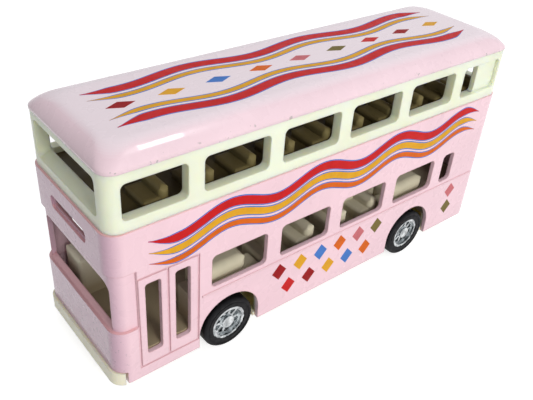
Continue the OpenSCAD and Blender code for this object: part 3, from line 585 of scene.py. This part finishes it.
def film(name, points, pieces, place, material):
    """Closed thin film of ink over the given triangles."""
    bm = bmesh.new()
    used = sorted({i for piece in pieces for i in piece})
    top = {i: bm.verts.new(Vector(place(*points[i], PRINT_LIFT)) * MM) for i in used}
    base = {i: bm.verts.new(Vector(place(*points[i], 0.0)) * MM) for i in used}
    borders = [(piece[k], piece[(k + 1) % 3]) for piece in pieces for k in range(3)]
    inner = set(borders)
    for piece in pieces:
        bm.faces.new([top[i] for i in piece])
        bm.faces.new([base[i] for i in reversed(piece)])
    for a, b in borders:
        if (b, a) not in inner:
            bm.faces.new((top[b], top[a], base[a], base[b]))
    bmesh.ops.recalc_face_normals(bm, faces=bm.faces)
    bmesh.ops.dissolve_limit(bm, angle_limit=math.radians(FLAT_ANGLE), verts=bm.verts, edges=bm.edges)
    return new_object(name, bm, material)


def print_art(name, art, holes, limit, place):
    """Prints the art on a panel, one piece for each ink."""
    points, areas = ink_areas(art, holes, limit)
    for color, pieces in areas.items():
        obj = film("print_%s_%s" % (name, color), points, pieces, place, bpy.data.materials["ink_" + color])
        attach(obj, "bus")


def side_art():
    """Ribbons above the lower windows and diamonds below them, along the bus and up."""
    art = ribbons(SIDE_RIBBONS, SIDE_FROM, SIDE_TO, SIDE_SWING, SIDE_PERIOD)
    places = [(first - SIDE_PITCH * k, z) for first, z, count in SIDE_ROWS for k in range(count)]
    places += [(TAIL_X, z) for first, z, count in SIDE_ROWS]
    return art + diamonds(places, SIDE_DIAMOND)


def paint_side(side):
    """Prints the art on one side of the lower body."""
    left = side > 0
    limit = rectangle(PRINT_REAR, PRINT_FRONT, PRINT_LOW, PRINT_HIGH)
    print_art("left" if left else "right", side_art(), side_holes(left), limit,
              lambda x, z, lift: (x, side * (HALF_WIDTH + lift), z))


def roof_art():
    """Ribbons along both edges of the roof and diamonds down its middle, along the bus and across."""
    art = []
    for side in (1, -1):
        rows = [(color, side * y, half) for color, y, half in ROOF_RIBBONS]
        art += ribbons(rows, ROOF_FROM, ROOF_TO, side * ROOF_SWING, ROOF_PERIOD)
    places = [(ROOF_ROW_X - ROOF_PITCH * k, 0.0) for k in range(ROOF_COUNT)]
    return art + diamonds(places, ROOF_DIAMOND)


def paint_roof():
    """Prints the art on the flat top of the roof."""
    limit = rectangle(ROOF_PRINT_REAR, ROOF_PRINT_FRONT, -ROOF_PRINT_HALF, ROOF_PRINT_HALF)
    print_art("roof", roof_art(), [], limit, lambda x, y, lift: (x, y, CROWN_Z + lift))


# Stage, light and camera
def seen_level(tree, hidden, seen):
    """A strength for rays that see a surface, and another for rays that only light the bus."""
    path = tree.nodes.new("ShaderNodeLightPath")
    total = path.outputs["Is Camera Ray"]
    for kind in ("Is Glossy Ray", "Is Transmission Ray"):
        both = tree.nodes.new("ShaderNodeMath")
        both.operation = "MAXIMUM"
        tree.links.new(total, both.inputs[0])
        tree.links.new(path.outputs[kind], both.inputs[1])
        total = both.outputs[0]
    level = tree.nodes.new("ShaderNodeMapRange")
    if isinstance(hidden, float):
        level.inputs["To Min"].default_value = hidden
    else:
        tree.links.new(hidden, level.inputs["To Min"])
    level.inputs["To Max"].default_value = seen
    tree.links.new(total, level.inputs["Value"])
    return level.outputs["Result"]


def stage():
    """Pale floor, bright to the eye but not as a light."""
    mesh = bpy.data.meshes.new("floor")
    bm = bmesh.new()
    bmesh.ops.create_grid(bm, x_segments=1, y_segments=1, size=FLOOR_SIZE)
    bm.to_mesh(mesh)
    bm.free()
    floor = bpy.data.objects.new("floor", mesh)
    floor.location.z = -FLOOR_DROP
    bpy.context.collection.objects.link(floor)
    s = Shader("floor_white").set(Base_Color=(FLOOR_SHADE, FLOOR_SHADE, FLOOR_SHADE, 1.0),
                                  Roughness=FLOOR_ROUGHNESS, Emission_Color=(*WHITE, 1.0))
    s.link(seen_level(s.tree, 0.0, FLOOR_GLOW), "Emission Strength")
    mesh.materials.append(s.material)


def area_light(name, location, target, size, power, color=WHITE, size_y=None):
    data = bpy.data.lights.new(name, "AREA")
    data.energy = power
    data.color = color
    data.size = size
    if size_y:
        data.shape = "RECTANGLE"
        data.size_y = size_y
    obj = bpy.data.objects.new(name, data)
    obj.location = location
    obj.rotation_euler = (Vector(target) - Vector(location)).to_track_quat("-Z", "Y").to_euler()
    obj.visible_glossy = name == "gleam"
    bpy.context.collection.objects.link(obj)


def light():
    """Soft sky, a broad key light and a small light for the gleam on the roof."""
    world = bpy.data.worlds.new("studio")
    bpy.context.scene.world = world
    world.use_nodes = True
    tree = world.node_tree
    back = next(n for n in tree.nodes if n.type == "BACKGROUND")
    back.inputs["Color"].default_value = (*SKY_COLOR, 1.0)
    way = tree.nodes.new("ShaderNodeTexCoord")
    split = tree.nodes.new("ShaderNodeSeparateXYZ")
    tree.links.new(way.outputs["Generated"], split.inputs[0])
    sky = tree.nodes.new("ShaderNodeMapRange")
    sky.inputs["To Min"].default_value = SKY_HORIZON
    sky.inputs["To Max"].default_value = SKY_ZENITH
    tree.links.new(split.outputs["Z"], sky.inputs["Value"])
    tree.links.new(seen_level(tree, sky.outputs["Result"], 1.0), back.inputs["Strength"])
    area_light("key", KEY_AT, KEY_AIM, KEY_SIZE, KEY_POWER, KEY_COLOR)
    area_light("gleam", GLEAM_AT, GLEAM_AIM, GLEAM_LENGTH, GLEAM_POWER, size_y=GLEAM_WIDTH)


def camera():
    """Camera at the photograph's place."""
    data = bpy.data.cameras.new("camera")
    data.sensor_fit = "HORIZONTAL"
    data.sensor_width = SENSOR_WIDTH
    data.lens = FOCAL_PX * SENSOR_WIDTH / IMAGE_W
    data.clip_start = NEAREST
    obj = bpy.data.objects.new("camera", data)
    turn = Matrix((CAM_RIGHT, tuple(-v for v in CAM_DOWN), tuple(-v for v in CAM_FORWARD))).transposed()
    obj.matrix_world = Matrix.Translation(Vector(CAM_POS) * MM) @ turn.to_4x4()
    bpy.context.collection.objects.link(obj)
    bpy.context.scene.camera = obj


camera()
light()
stage()
dress_nodes()
for ink_name, ink_color in INKS.items():
    ink("ink_" + ink_name, ink_color)
dome = roof_dome()
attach(dome, "bus")
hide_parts("roof")
panel = rear_bay_panel()
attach(panel, "bus")
paint_side(1)
paint_side(-1)
paint_roof()
bpy.context.scene.view_settings.view_transform = "Standard"
